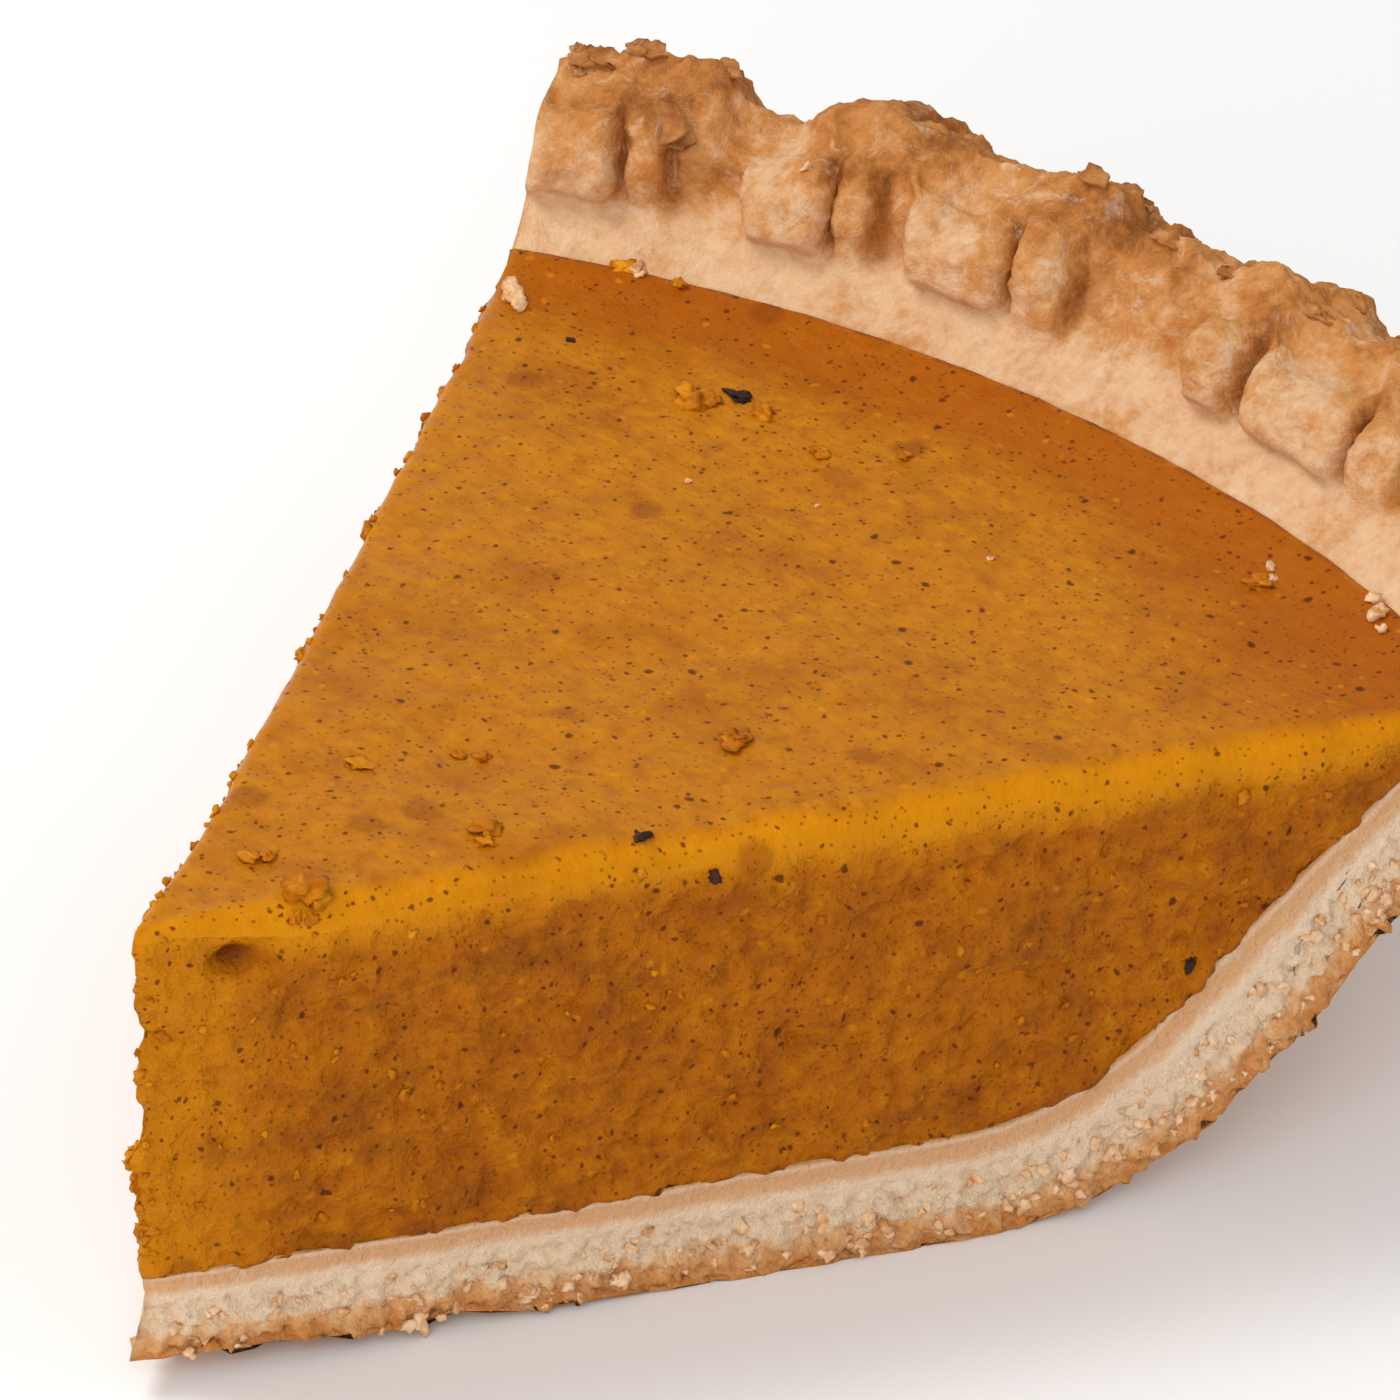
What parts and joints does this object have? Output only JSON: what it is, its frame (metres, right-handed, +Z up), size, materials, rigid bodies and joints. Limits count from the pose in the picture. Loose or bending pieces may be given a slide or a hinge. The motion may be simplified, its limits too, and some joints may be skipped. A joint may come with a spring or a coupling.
{
  "type": "slice of pumpkin pie",
  "caption": "Wedge of pumpkin pie standing by itself: smooth orange custard in a thick pastry shell with a high, finger-crimped rim, both faces cut clean to the point.",
  "frame": {"origin": "under the middle of the slice's box, on the surface that the slice stands on", "axes": "+Z up; +Y from the slice's point to the middle of its rim; +X to the right, seen with the rim behind"},
  "size_m": [0.1091, 0.1209, 0.0504],
  "materials": {
    "baked_pastry": "matte",
    "set_custard": "satin"
  },
  "bodies": {
    "root": {"pastry_crust": "baked_pastry", "pumpkin_filling": "set_custard"}
  },
  "joints": []
}
